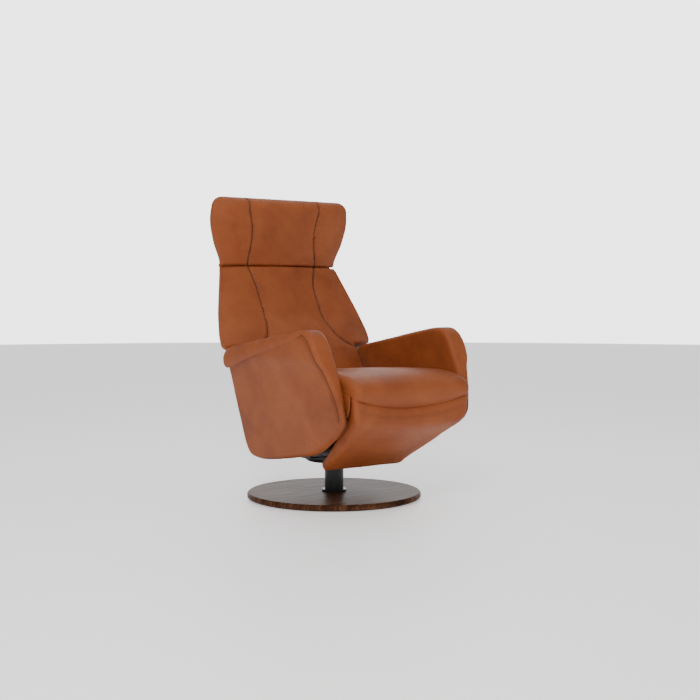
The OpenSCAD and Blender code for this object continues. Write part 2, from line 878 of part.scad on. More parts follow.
module foot_bracket_shape() {
  outline = [[-290, 246], [-288, 254], [-377, 328], [foot_pivot[0] + 8, foot_pivot[1] + 5],
    [foot_pivot[0] - 4, foot_pivot[1] - 3], [-385, 320]];
  difference() {
    union() {
      plate(outline, bracket_in, bracket_out);
      bar(foot_pivot, foot_ear_r, bracket_in, bracket_out);
      on_foot() translate([bracket_in - 24, 0, 150]) cube([24 + bracket_t, 3, board_len - 158]);
    }
    bar(foot_pivot, pin_r + run_fit, bracket_in - 1, bracket_out + 1);
  }
}

module foot_screw_set() {
  both_sides() for (z = [175, 230]) on_foot() translate([bracket_in - 14, 3, z]) rotate([90, 0, 0]) {
    cylinder(r = 2.5, h = board_t - 1);
    translate([0, 0, -2]) cylinder(r = 5, h = 2);
  }
}

module footrest_bracket_left() {
  color(steel) difference() {
    foot_bracket_shape();
    foot_screw_set();
  }
}

module footrest_bracket_right() {
  mirror([1, 0, 0]) footrest_bracket_left();
}

module footrest_screws() {
  color(zinc) foot_screw_set();
}

module footrest_pad() {
  outer = [[-425, 336], [-428, 316], [-425, 292], [-405, 270], [-361, 246], [-318, 221], [-275, 194],
    [-212, 157], [-172, 130], [-156, 127]];
  inner = [[-406, 334], [-399, 321], [-392, 308], [-375, 295], [-331, 260], [-301, 237], [-260, 207],
    [-215, 173], [-173, 141], [-158, 141]];
  n = len(outer);
  outline = [each outer, each [for (i = [n - 1:-1:0]) inner[i]]];
  mid = [for (i = [0:n - 1]) (outer[i] + inner[i]) / 2];
  core = [each mid, each [for (i = [n - 1:-1:0]) mid[i]]];
  color(leather) slab(outline, core, negated(foot_wide), foot_wide, 5);
}

// ---- Assembly ----
base_felt();
ballast_plate();
base_disc();
base_bolts();
column_flange();
column_tube();
bush_lower();
bush_upper();
thrust_washer();
swivel_spindle();
spindle_clip();
carrier_dish();
mechanism_plate();
carrier_bolts();
rail_left();
rail_right();
cross_tube_front();
cross_tube_rear();
seat_frame();
seat_webbing();
seat_cushion();
arm_left();
arm_right();
arm_board_left();
arm_board_right();
arm_bracket_left();
arm_bracket_right();
arm_bolts();
back_pivot_pins();
gas_spring_cylinder();
spring_anchor();
footrest_shaft();
footrest_springs();
footrest_lock();
rear_apron();
button_housing();
release_cable_back();
release_cable_footrest();
gas_spring_rod();
back_board();
back_bracket_left();
back_bracket_right();
recline_shaft();
lever_pin();
back_cushion();
back_shell();
headrest_hinge_lower();
headrest_hinge_pins();
headrest_hinge_upper();
headrest_board();
headrest_cushion();
headrest_shell();
footrest_board();
footrest_bracket_left();
footrest_bracket_right();
footrest_pad();
footrest_screws();
button_back();
button_footrest();
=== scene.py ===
import bmesh
import bpy
import json
import math
import numpy as np
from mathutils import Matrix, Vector, noise


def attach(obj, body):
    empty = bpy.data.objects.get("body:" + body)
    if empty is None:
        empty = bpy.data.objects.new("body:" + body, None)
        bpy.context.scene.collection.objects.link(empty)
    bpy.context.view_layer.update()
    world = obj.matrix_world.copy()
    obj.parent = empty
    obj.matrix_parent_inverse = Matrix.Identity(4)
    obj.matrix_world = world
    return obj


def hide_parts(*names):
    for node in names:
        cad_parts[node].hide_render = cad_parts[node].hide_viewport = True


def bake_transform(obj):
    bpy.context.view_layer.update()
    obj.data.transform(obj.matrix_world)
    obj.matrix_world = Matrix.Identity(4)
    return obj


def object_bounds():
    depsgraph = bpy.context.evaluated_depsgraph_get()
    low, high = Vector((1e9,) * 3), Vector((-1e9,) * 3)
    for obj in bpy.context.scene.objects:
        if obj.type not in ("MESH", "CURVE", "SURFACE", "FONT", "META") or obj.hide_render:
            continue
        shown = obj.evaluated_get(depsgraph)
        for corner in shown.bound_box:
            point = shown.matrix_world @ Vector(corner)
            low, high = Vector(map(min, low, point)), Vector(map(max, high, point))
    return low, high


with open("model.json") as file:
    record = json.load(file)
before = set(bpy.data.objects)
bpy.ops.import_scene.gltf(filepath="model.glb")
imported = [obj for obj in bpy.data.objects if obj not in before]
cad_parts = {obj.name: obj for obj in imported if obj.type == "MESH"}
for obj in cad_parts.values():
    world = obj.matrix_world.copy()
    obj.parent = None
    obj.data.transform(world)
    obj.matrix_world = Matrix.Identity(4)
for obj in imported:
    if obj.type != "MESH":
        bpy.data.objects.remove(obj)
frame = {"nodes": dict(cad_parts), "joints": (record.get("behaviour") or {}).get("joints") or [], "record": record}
cad_low, cad_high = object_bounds()

# ---------------------------------------------------------------- places from the frame
JOINTS = {j["name"]: j for j in frame["joints"]}
NECK = np.array(JOINTS["headrest_tilt"]["pos_m"], float)
RECLINE = np.array(JOINTS["back_recline"]["pos_m"], float)
BACK_LEAN = math.atan2(NECK[1] - RECLINE[1], NECK[2] - RECLINE[2])
HEAD_LEAN = math.radians(6.8)


def on_back(p):
    """From the back's own frame (z up along the back, y to the rear, origin at the neck) to the chair's."""
    c, s = math.cos(BACK_LEAN), math.sin(BACK_LEAN)
    x, y, z = p[..., 0], p[..., 1], p[..., 2]
    return np.stack([x, NECK[1] + y * c + z * s, NECK[2] - y * s + z * c], -1)


def on_head(p):
    """The same for the headrest, which leans forward from the neck."""
    c, s = math.cos(HEAD_LEAN), math.sin(HEAD_LEAN)
    x, y, z = p[..., 0], p[..., 1], p[..., 2]
    return np.stack([x, NECK[1] + y * c - z * s, NECK[2] + y * s + z * c], -1)


# ---------------------------------------------------------------- camera, light and stage
CAMERA_TURN = math.radians(36)
CAMERA_DISTANCE = 4.13
CAMERA_HEIGHT = 0.695
CAMERA_PITCH = math.radians(2.57)
CAMERA_YAW = math.radians(-0.7639)  # the column stands a little left of the middle
CAMERA_LENS = 61.7


def make_camera():
    data = bpy.data.cameras.new("camera")
    data.sensor_width = 36
    data.lens = CAMERA_LENS
    camera = bpy.data.objects.new("camera", data)
    bpy.context.scene.collection.objects.link(camera)
    a = CAMERA_TURN
    camera.location = (-CAMERA_DISTANCE * math.sin(a), -CAMERA_DISTANCE * math.cos(a), CAMERA_HEIGHT)
    heading = a - CAMERA_YAW
    level = math.cos(CAMERA_PITCH)
    look = Vector((math.sin(heading) * level, math.cos(heading) * level, -math.sin(CAMERA_PITCH)))
    camera.rotation_mode = "QUATERNION"
    camera.rotation_quaternion = look.to_track_quat("-Z", "Y")
    bpy.context.scene.camera = camera


def area_light(name, place, target, size, watts, tint=(1, 1, 1)):
    data = bpy.data.lights.new(name, "AREA")
    data.shape = "RECTANGLE"
    data.size, data.size_y = size
    data.energy = watts
    data.color = tint
    lamp = bpy.data.objects.new(name, data)
    bpy.context.scene.collection.objects.link(lamp)
    lamp.location = place
    lamp.rotation_mode = "QUATERNION"
    lamp.rotation_quaternion = (Vector(target) - Vector(place)).to_track_quat("-Z", "Y")


ROOM_LIGHT = 0.40
BACKDROP_LIGHT = 3.4
FLOOR_GLOW = 0.42
FLOOR_RADIUS = 14
FLOOR_DROP = 0.0005


def make_stage():
    world = bpy.data.worlds.new("studio")
    bpy.context.scene.world = world
    world.use_nodes = True
    nodes, links = world.node_tree.nodes, world.node_tree.links
    sky = nodes["Background"]
    sky.inputs["Color"].default_value = (1, 1, 1, 1)
    where = nodes.new("ShaderNodeTexCoord")
    toward = nodes.new("ShaderNodeVectorMath")
    toward.operation = "DOT_PRODUCT"
    toward.inputs[1].default_value = (math.sin(CAMERA_TURN), math.cos(CAMERA_TURN), 0)
    links.new(where.outputs["Generated"], toward.inputs[0])
    glow = node(nodes, "ShaderNodeMapRange", From_Min=0.70, From_Max=0.90,
                To_Min=ROOM_LIGHT, To_Max=BACKDROP_LIGHT)
    links.new(toward.outputs["Value"], glow.inputs["Value"])
    links.new(glow.outputs["Result"], sky.inputs["Strength"])
    area_light("key", (-2.4, -2.4, 2.6), (0, 0, 0.5), (1.3, 1.3), 88, (1, 0.985, 0.96))
    area_light("fill", (2.6, -2.6, 1.5), (0, 0, 0.5), (2.2, 1.6), 10)
    area_light("top", (0.2, 0.4, 3.2), (0, 0, 0.4), (2.4, 2.4), 26)
    bpy.ops.mesh.primitive_circle_add(vertices=96, radius=FLOOR_RADIUS, fill_type="NGON",
                                      location=(0, 0, cad_low[2] - FLOOR_DROP))
    floor = bpy.context.object
    floor.name = "studio_floor"
    floor.data.materials.append(floor_material())


# ---------------------------------------------------------------- materials
def new_material(name):
    m = bpy.data.materials.new(name)
    m.use_nodes = True
    return m, m.node_tree.nodes, m.node_tree.links, m.node_tree.nodes["Principled BSDF"]


def node(nodes, kind, **sockets):
    n = nodes.new(kind)
    for key, value in sockets.items():
        n.inputs[key.replace("_", " ")].default_value = value
    return n


def colour_ramp(nodes, stops):
    r = nodes.new("ShaderNodeValToRGB")
    while len(r.color_ramp.elements) < len(stops):
        r.color_ramp.elements.new(0.5)
    for element, (place, colour) in zip(r.color_ramp.elements, stops):
        element.position = place
        element.color = (*colour, 1)
    return r


def scaled_coordinates(nodes, links, scale=(1, 1, 1)):
    where = nodes.new("ShaderNodeTexCoord")
    mapping = node(nodes, "ShaderNodeMapping", Scale=scale)
    links.new(where.outputs["Object"], mapping.inputs["Vector"])
    return mapping.outputs["Vector"]


def floor_material():
    m, nodes, links, shader = new_material("pale_floor")
    tone = node(nodes, "ShaderNodeTexNoise", Scale=3.0, Detail=2.0)
    ramp = colour_ramp(nodes, [(0.3, (0.90, 0.90, 0.90)), (0.7, (0.92, 0.92, 0.92))])
    links.new(scaled_coordinates(nodes, links), tone.inputs["Vector"])
    links.new(tone.outputs["Fac"], ramp.inputs["Fac"])
    links.new(ramp.outputs["Color"], shader.inputs["Base Color"])
    shader.inputs["Roughness"].default_value = 0.55
    shader.inputs["Emission Color"].default_value = (1, 1, 1, 1)
    shader.inputs["Emission Strength"].default_value = FLOOR_GLOW
    return m


def leather_material(name, dark, mid, light, roughness=(0.36, 0.5)):
    """Pull-up leather: cloudy colour, pebble grain in cells of about a millimetre, pores and soft creases."""
    m, nodes, links, shader = new_material(name)
    place = scaled_coordinates(nodes, links)

    clouds = node(nodes, "ShaderNodeTexNoise", Scale=7.0, Detail=5.0, Roughness=0.6, Distortion=0.4)
    links.new(place, clouds.inputs["Vector"])
    ramp = colour_ramp(nodes, [(0.28, dark), (0.5, mid), (0.74, light)])
    links.new(clouds.outputs["Fac"], ramp.inputs["Fac"])

    cells = node(nodes, "ShaderNodeTexVoronoi", Scale=620.0, Randomness=1.0)
    cells.feature = "DISTANCE_TO_EDGE"
    warp = node(nodes, "ShaderNodeTexNoise", Scale=240.0, Detail=2.0)
    links.new(place, warp.inputs["Vector"])
    mix = nodes.new("ShaderNodeMix")
    mix.data_type = "VECTOR"
    mix.inputs["Factor"].default_value = 0.0016
    links.new(place, mix.inputs["A"])
    links.new(warp.outputs["Color"], mix.inputs["B"])
    links.new(mix.outputs["Result"], cells.inputs["Vector"])
    grain = colour_ramp(nodes, [(0.0, (0, 0, 0)), (0.22, (1, 1, 1))])
    links.new(cells.outputs["Distance"], grain.inputs["Fac"])

    creases = node(nodes, "ShaderNodeTexNoise", Scale=46.0, Detail=6.0, Roughness=0.62, Distortion=0.8)
    links.new(place, creases.inputs["Vector"])

    tint = nodes.new("ShaderNodeMix")
    tint.data_type = "RGBA"
    tint.blend_type = "MULTIPLY"
    tint.inputs["Factor"].default_value = 0.22
    links.new(ramp.outputs["Color"], tint.inputs["A"])
    links.new(grain.outputs["Color"], tint.inputs["B"])
    links.new(tint.outputs["Result"], shader.inputs["Base Color"])

    rough = node(nodes, "ShaderNodeMapRange", To_Min=roughness[0], To_Max=roughness[1])
    links.new(creases.outputs["Fac"], rough.inputs["Value"])
    links.new(rough.outputs["Result"], shader.inputs["Roughness"])

    fine = node(nodes, "ShaderNodeBump", Strength=0.28, Distance=0.0006)
    soft = node(nodes, "ShaderNodeBump", Strength=0.30, Distance=0.0022)
    links.new(grain.outputs["Color"], fine.inputs["Height"])
    links.new(creases.outputs["Fac"], soft.inputs["Height"])
    links.new(fine.outputs["Normal"], soft.inputs["Normal"])
    links.new(soft.outputs["Normal"], shader.inputs["Normal"])
    shader.inputs["Specular IOR Level"].default_value = 0.26
    shader.inputs["Sheen Weight"].default_value = 0.0
    return m


def walnut_material():
    m, nodes, links, shader = new_material("walnut_veneer")
    place = scaled_coordinates(nodes, links, (1.0, 13.0, 1.0))
    rings = node(nodes, "ShaderNodeTexNoise", Scale=4.2, Detail=6.0, Roughness=0.62, Distortion=1.1)
    links.new(place, rings.inputs["Vector"])
    wood = colour_ramp(nodes, [(0.30, (0.024, 0.010, 0.006)), (0.47, (0.070, 0.027, 0.013)),
                               (0.58, (0.105, 0.045, 0.022)), (0.72, (0.175, 0.078, 0.036))])
    links.new(rings.outputs["Fac"], wood.inputs["Fac"])
    pores = node(nodes, "ShaderNodeTexNoise", Scale=150.0, Detail=3.0, Roughness=0.7)
    links.new(scaled_coordinates(nodes, links, (0.07, 1.0, 1.0)), pores.inputs["Vector"])
    pore_lines = colour_ramp(nodes, [(0.40, (0.35, 0.35, 0.35)), (0.52, (1, 1, 1))])
    links.new(pores.outputs["Fac"], pore_lines.inputs["Fac"])
    mix = nodes.new("ShaderNodeMix")
    mix.data_type = "RGBA"
    mix.blend_type = "MULTIPLY"
    mix.inputs["Factor"].default_value = 0.75
    links.new(wood.outputs["Color"], mix.inputs["A"])
    links.new(pore_lines.outputs["Color"], mix.inputs["B"])
    links.new(mix.outputs["Result"], shader.inputs["Base Color"])
    rough = node(nodes, "ShaderNodeMapRange", To_Min=0.34, To_Max=0.50)
    links.new(pores.outputs["Fac"], rough.inputs["Value"])
    links.new(rough.outputs["Result"], shader.inputs["Roughness"])
    bump = node(nodes, "ShaderNodeBump", Strength=0.12, Distance=0.0004)
    links.new(pore_lines.outputs["Color"], bump.inputs["Height"])
    links.new(bump.outputs["Normal"], shader.inputs["Normal"])
    shader.inputs["Coat Weight"].default_value = 0.0
    shader.inputs["Coat Roughness"].default_value = 0.3
    shader.inputs["IOR"].default_value = 1.22
    shader.inputs["Specular IOR Level"].default_value = 0.1
    return m


def speckled_material(name, colours, scale, roughness, metallic=0.0, bump=0.1, stretch=(1, 1, 1)):
    """Powder coat, felt, plastic, plywood, zinc or webbing: two tones, a fine relief and a varying gloss."""
    m, nodes, links, shader = new_material(name)
    tone = node(nodes, "ShaderNodeTexNoise", Scale=scale, Detail=4.0, Roughness=0.6)
    links.new(scaled_coordinates(nodes, links, stretch), tone.inputs["Vector"])
    ramp = colour_ramp(nodes, [(0.35, colours[0]), (0.65, colours[1])])
    links.new(tone.outputs["Fac"], ramp.inputs["Fac"])
    links.new(ramp.outputs["Color"], shader.inputs["Base Color"])
    rough = node(nodes, "ShaderNodeMapRange", To_Min=roughness[0], To_Max=roughness[1])
    links.new(tone.outputs["Fac"], rough.inputs["Value"])
    links.new(rough.outputs["Result"], shader.inputs["Roughness"])
    relief = node(nodes, "ShaderNodeBump", Strength=bump, Distance=0.0004)
    links.new(tone.outputs["Fac"], relief.inputs["Height"])
    links.new(relief.outputs["Normal"], shader.inputs["Normal"])
    shader.inputs["Metallic"].default_value = metallic
    return m


def make_materials():
    """One material for each of the record's slots, and the thread."""
    tan = leather_material("cognac_leather", (0.225, 0.052, 0.0125), (0.300, 0.073, 0.0180),
                           (0.350, 0.093, 0.0250), (0.50, 0.64))
    finish = speckled_material
    return {
        "leather": tan,
        "thread": finish("thread", ((0.040, 0.012, 0.005), (0.070, 0.022, 0.009)), 900, (0.6, 0.8)),
        "walnut": walnut_material(),
        "felt": finish("felt", ((0.02, 0.02, 0.02), (0.05, 0.05, 0.05)), 900, (0.85, 1.0), bump=0.6),
        "black_steel": finish("black_powder_coat", ((0.010, 0.010, 0.011), (0.018, 0.018, 0.020)), 700,
                              (0.30, 0.46), bump=0.25),
        "zinc_steel": finish("zinc_plate", ((0.42, 0.43, 0.45), (0.56, 0.57, 0.60)), 60, (0.25, 0.42),
                             metallic=1.0),
        "button_metal": finish("satin_aluminium", ((0.50, 0.50, 0.52), (0.62, 0.62, 0.64)), 300,
                               (0.25, 0.36), metallic=1.0, stretch=(1, 1, 12)),
        "nylon": finish("nylon", ((0.66, 0.65, 0.60), (0.74, 0.73, 0.68)), 90, (0.4, 0.55)),
        "black_plastic": finish("black_plastic", ((0.014, 0.014, 0.015), (0.024, 0.024, 0.025)), 800,
                                (0.42, 0.58), bump=0.3),
        "plywood": finish("birch_plywood", ((0.50, 0.36, 0.20), (0.66, 0.50, 0.31)), 40, (0.55, 0.7),
                          stretch=(1, 8, 8)),
        "webbing": finish("webbing", ((0.02, 0.02, 0.02), (0.07, 0.07, 0.07)), 500, (0.7, 0.9),
                          bump=0.8, stretch=(1, 4, 1)),
    }


# ---------------------------------------------------------------- mesh helpers
def smooth_table(table, t):
    """Values of a table of (place, value, value...) at t, along a smooth curve through its rows."""
    rows = np.array(sorted(table), float)
    t = np.clip(np.asarray(t, float), rows[0, 0], rows[-1, 0])
    i = np.clip(np.searchsorted(rows[:, 0], t, side="right") - 1, 0, len(rows) - 2)
    span = rows[1:, 0] - rows[:-1, 0]
    rise = (rows[1:, 1:] - rows[:-1, 1:]) / span[:, None]
    slope = np.zeros_like(rows[:, 1:])
    both = rise[1:] * rise[:-1]
    slope[1:-1] = np.where(both > 0, 2 * both / (rise[1:] + rise[:-1] + 1e-12), 0)
    slope[0], slope[-1] = rise[0], rise[-1]
    h = span[i][..., None]
    u = ((t - rows[i, 0]) / span[i])[..., None]
    a, b = rows[i, 1:], rows[i + 1, 1:]
    value = ((1 + 2 * u) * (1 - u) ** 2 * a + u * (1 - u) ** 2 * h * slope[i]
             + u * u * (3 - 2 * u) * b + u * u * (u - 1) * h * slope[i + 1])
    return value[..., 0] if value.shape[-1] == 1 else value


def closed_curve(points, count):
    """A smooth closed curve through points, as count points an even way apart."""
    p = np.array(points, float)
    n, fine = len(p), 24
    u = (np.arange(fine) / fine)[:, None]
    out = []
    for i in range(n):
        a, b, c, d = p[i - 1], p[i], p[(i + 1) % n], p[(i + 2) % n]
        out.append(0.5 * (2 * b + (c - a) * u + (2 * a - 5 * b + 4 * c - d) * u ** 2
                          + (3 * b - a - 3 * c + d) * u ** 3))
    q = np.concatenate(out)
    step = np.linalg.norm(np.roll(q, -1, 0) - q, axis=1)
    along = np.concatenate([[0], np.cumsum(step)])
    q = np.concatenate([q, q[:1]])
    want = np.linspace(0, along[-1], count, endpoint=False)
    return np.stack([np.interp(want, along, q[:, k]) for k in range(q.shape[1])], -1)


def ring_mesh(name, rings, material):
    """A mesh through rings of equal length, with both ends closed by a fan."""
    rings = np.asarray(rings, float)
    m, n = rings.shape[:2]
    verts = np.concatenate([rings.reshape(-1, 3), [rings[0].mean(0), rings[-1].mean(0)]])
    j = np.arange(n)
    k = (j + 1) % n
    faces = [np.stack([i * n + j, i * n + k, (i + 1) * n + k, (i + 1) * n + j], -1) for i in range(m - 1)]
    faces = np.concatenate(faces).tolist()
    faces += [[m * n, int(b), int(a)] for a, b in zip(j, k)]
    faces += [[m * n + 1, (m - 1) * n + int(a), (m - 1) * n + int(b)] for a, b in zip(j, k)]
    mesh = bpy.data.meshes.new(name)
    mesh.from_pydata(verts.tolist(), [], faces)
    mesh.validate()
    mesh.update()
    piece = bpy.data.objects.new(name, mesh)
    bpy.context.scene.collection.objects.link(piece)
    mesh.materials.append(material)
    fix_normals(piece)
    mesh.shade_smooth()
    return piece


def fix_normals(piece):
    """Joins points that fall together, and turns every face outward."""
    bm = bmesh.new()
    bm.from_mesh(piece.data)
    bmesh.ops.remove_doubles(bm, verts=bm.verts, dist=1e-6)
    bmesh.ops.recalc_face_normals(bm, faces=bm.faces)
    bm.to_mesh(piece.data)
    bm.free()


def coordinates(piece):
    """A piece's points and the outward direction at each."""
    mesh = piece.data
    co = np.empty(len(mesh.vertices) * 3)
    mesh.vertices.foreach_get("co", co)
    normal = np.empty(len(mesh.vertices) * 3, np.float32)
    mesh.vertex_normals.foreach_get("vector", normal)
    return co.reshape(-1, 3), normal.reshape(-1, 3).astype(float)


def move_points(piece, co):
    piece.data.vertices.foreach_set("co", co.ravel())
    piece.data.update()


def crumple(piece, amount=0.0012, scale=9.0, seed=0.0):
    """Soft hollows and folds over the whole piece, as stuffed leather has."""
    co, normal = coordinates(piece)
    lift = np.array([noise.noise(Vector(p) * scale + Vector((seed, 0, 0)))
                     + 0.45 * noise.noise(Vector(p) * scale * 2.7 + Vector((0, seed, 0))) for p in co])
    move_points(piece, co + normal * (amount * lift)[:, None])


def seam_puckers(piece, line, depth=0.0030, reach=0.018, groove=0.0050, wave=0.017):
    """Sinks a seam's groove into a piece and gathers the leather into small puckers beside it."""
    co, normal = coordinates(piece)
    line = np.asarray(line, float)
    a, b = line[:-1], line[1:]
    low, high = line.min(0) - 0.05, line.max(0) + 0.05
    near = np.nonzero(((co > low) & (co < high)).all(1))[0]
    best = np.full(len(near), 1e9)
    place = np.zeros(len(near))
    run = np.concatenate([[0], np.cumsum(np.linalg.norm(b - a, axis=1))])
    for i in range(len(a)):
        d = b[i] - a[i]
        length = max(1e-9, float(d @ d))
        t = np.clip((co[near] - a[i]) @ d / length, 0, 1)
        away = np.linalg.norm(co[near] - a[i] - t[:, None] * d, axis=1)
        closer = away < best
        best[closer] = away[closer]
        place[closer] = run[i] + t[closer] * math.sqrt(length)
    uneven = 1.7 * np.sin(place * 31) + 0.9 * np.sin(place * 77)
    ripple = 0.5 + 0.5 * np.sin(2 * math.pi * place / wave + uneven)
    drop = groove * np.exp(-(best / 0.0038) ** 2)
    drop += depth * 0.42 * ripple * np.exp(-best / reach) * (1 - np.exp(-(best / 0.004) ** 2))
    drop -= 0.0009 * np.exp(-((best - 0.009) / 0.006) ** 2)
    co[near] -= normal[near] * drop[:, None]
    move_points(piece, co)


def tube(name, line, radius, material, sides=8):
    """A round cord along a line."""
    line = np.asarray(line, float)
    t = np.gradient(line, axis=0)
    t /= np.linalg.norm(t, axis=1)[:, None] + 1e-12
    side = np.cross(t, [0.13, 0.21, 1.0])
    side /= np.linalg.norm(side, axis=1)[:, None] + 1e-12
    up = np.cross(side, t)
    a = np.linspace(0, 2 * math.pi, sides, endpoint=False)
    across, upward = np.cos(a)[None, :, None], np.sin(a)[None, :, None]
    return ring_mesh(name, line[:, None] + radius * (side[:, None] * across + up[:, None] * upward), material)


def resample(line, step):
    """The same line with its points about a step apart."""
    line = np.asarray(line, float)
    run = np.concatenate([[0], np.cumsum(np.linalg.norm(np.diff(line, axis=0), axis=1))])
    count = max(2, int(round(run[-1] / step)) + 1)
    want = np.linspace(0, run[-1], count)
    return np.stack([np.interp(want, run, line[:, k]) for k in range(3)], -1)


def finish_leather(piece, body=None):
    """Attaches the piece to the body that it rides on, if one is given."""
    if body:
        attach(piece, body)


SIDE_NAME = {-1: "right", 1: "left"}
LINE_STEP = 0.004
SEAM_GAP = 0.0065
STITCH_PITCH = 0.0056
STITCH_LENGTH = 0.0040
STITCH_RADIUS = 0.00048


def stitches(name, lines, material, body):
    """Rows of thread stitches along lines, each a small rounded bar that dips into the leather."""
    verts, faces = [], []
    shape = [(-1, 0.15), (-0.72, 0.85), (0, 1.0), (0.72, 0.85), (1, 0.15)]
    for line, out in lines:
        points = resample(line, STITCH_PITCH)
        outward = np.asarray(out, float)
        outward = outward[np.linspace(0, len(outward) - 1, len(points)).round().astype(int)]
        for i in range(len(points) - 1):
            mid = (points[i] + points[i + 1]) / 2
            t = points[i + 1] - points[i]
            t = t / (np.linalg.norm(t) + 1e-12)
            n = outward[i] - t * (outward[i] @ t)
            n = n / (np.linalg.norm(n) + 1e-12)
            s = np.cross(t, n)
            start = len(verts)
            for along, fat in shape:
                c = mid + t * along * STITCH_LENGTH / 2 + n * STITCH_RADIUS * (0.9 * fat - 0.5)
                r = STITCH_RADIUS * fat
                for turn in (0, 60, 120, 180, 240, 300):
                    a = math.radians(turn)
                    verts.append(c + s * r * math.cos(a) + n * r * math.sin(a))
            for ring in range(len(shape) - 1):
                for k in range(6):
                    p, q = start + ring * 6 + k, start + ring * 6 + (k + 1) % 6
                    faces.append((p, q, q + 6, p + 6))
            faces.append(tuple(start + k for k in range(5, -1, -1)))
            faces.append(tuple(start + (len(shape) - 1) * 6 + k for k in range(6)))
    mesh = bpy.data.meshes.new(name)
    mesh.from_pydata([tuple(v) for v in verts], [], faces)
    mesh.update()
    mesh.shade_smooth()
    mesh.materials.append(material)
    piece = bpy.data.objects.new(name, mesh)
    bpy.context.scene.collection.objects.link(piece)
    finish_leather(piece, body)
    return piece


def seam_welt(name, piece, line, thread, body):
    """The sunken seam line itself: a thin welt that lies in the groove."""
    points, _ = on_surface(piece, line, lift=0.0002)
    welt = tube(name, resample(points, 0.005), 0.0011, thread, 6)
    finish_leather(welt, body)
    return welt


def on_surface(piece, line, lift=0.0):
    """The nearest points of a piece's surface to a line, and the surface's outward direction there."""
    points, normals = [], []
    for p in line:
        where, normal = piece.closest_point_on_mesh(Vector(p))[1:3]
        points.append(np.array(where) + np.array(normal) * lift)
        normals.append(np.array(normal))
    return np.array(points), np.array(normals)


# ---------------------------------------------------------------- leather covers of the head and the back
FRONT_STEPS = 150
REAR_STEPS = 84
REAR_SQUARENESS = 0.3
ROW_STEP = 0.0026


def cover_front(x, half, seam_x, seam_y, crown, wing):
    """How far forward the padding stands at x: a crowned panel between two seams, and a wing at each side."""
    side = np.abs(x)
    middle = seam_y - crown * (1 - np.clip(side / seam_x, 0, 1) ** 2.2)
    t = np.clip((side - seam_x) / np.maximum(1e-4, half - seam_x), 0, 1)
    outer = seam_y * (1 - t ** 1.5) - wing * np.sin(math.pi * t) ** 0.9
    return np.where(side < seam_x, middle, outer)


def cover_ring(half, seam_x, seam_y, crown, wing, depth, bulge):
    """One level of a cover: its shaped front, and a rear that rounds back to it."""
    u = np.linspace(-1, 1, FRONT_STEPS)
    x = half * np.sign(u) * np.abs(u) ** 0.97
    front = np.stack([x, cover_front(x, half, seam_x, seam_y, crown, wing)], -1)
    a = np.linspace(0, math.pi, REAR_STEPS)[1:-1]
    rear = np.stack([half * np.cos(a), (depth + bulge * np.sin(a) ** 2) * np.sin(a) ** REAR_SQUARENESS], -1)
    return np.concatenate([front, rear])


def cover_rings(levels, tables):
    """Rings at each level, from tables of half, seam_x, seam_y, crown, wing, depth and bulge."""
    names = ("half", "seam_x", "seam_y", "crown", "wing", "depth", "bulge")
    columns = [smooth_table(tables[n], levels) for n in names]
    rings = []
    for i, z in enumerate(levels):
        flat = cover_ring(*[float(c[i]) for c in columns])
        rings.append(np.concatenate([flat, np.full((len(flat), 1), z)], -1))
    return np.array(rings)


def rounded_end(ring, radius, middle_y, side, steps=12, narrow=0.35):
    """Rings that close an end in a half round of the given radius, towards the line y = middle_y."""
    out = []
    for i in range(1, steps + 1):
        a = math.pi / 2 * i / steps
        r = ring.copy()
        r[:, 1] = middle_y + (ring[:, 1] - middle_y) * math.cos(a)
        r[:, 0] = ring[:, 0] * (1 - (1 - math.cos(a)) * narrow * radius / max(0.05, np.abs(ring[:, 0]).max()))
        r[:, 2] = ring[:, 2] + side * radius * math.sin(a)
        out.append(r)
    return out


def seam_line(rings, tables, side):
    """Points along a cover's seam, found in its rings."""
    line = []
    for ring in rings:
        z = ring[0, 2]
        want = side * float(smooth_table(tables["seam_x"], [z])[0])
        front = ring[:FRONT_STEPS]
        line.append([want, np.interp(want, front[:, 0], front[:, 1]), z])
    return np.array(line)


def rows_beside(piece, line):
    """The stitch rows at both sides of a seam, laid on the piece."""
    return [on_surface(piece, line + np.array([gap, 0, 0])) for gap in (-SEAM_GAP, SEAM_GAP)]


HEAD = {
    "half": [(0, .243), (.02, .247), (.09, .275), (.17, .2915), (.206, .288)],
    "seam_x": [(0, .148), (.12, .134), (.206, .150)],
    "seam_y": [(0, -.0195), (.206, -.021)],
    "crown": [(0, .006), (.10, .009), (.206, .006)],
    "wing": [(0, .003), (.10, .007), (.206, .006)],
    "depth": [(0, .030), (.05, .040), (.206, .044)],
    "bulge": [(0, .008), (.10, .018), (.206, .012)],
}


def bend_at_neck(piece):
    """Bakes a headrest piece's placement into its mesh."""
    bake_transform(piece)


HEAD_TOP = 0.206
HEAD_TOP_ROUND = 0.038
HEAD_TOP_MIDDLE = 0.018
HEAD_LOW_ROUND = 0.013


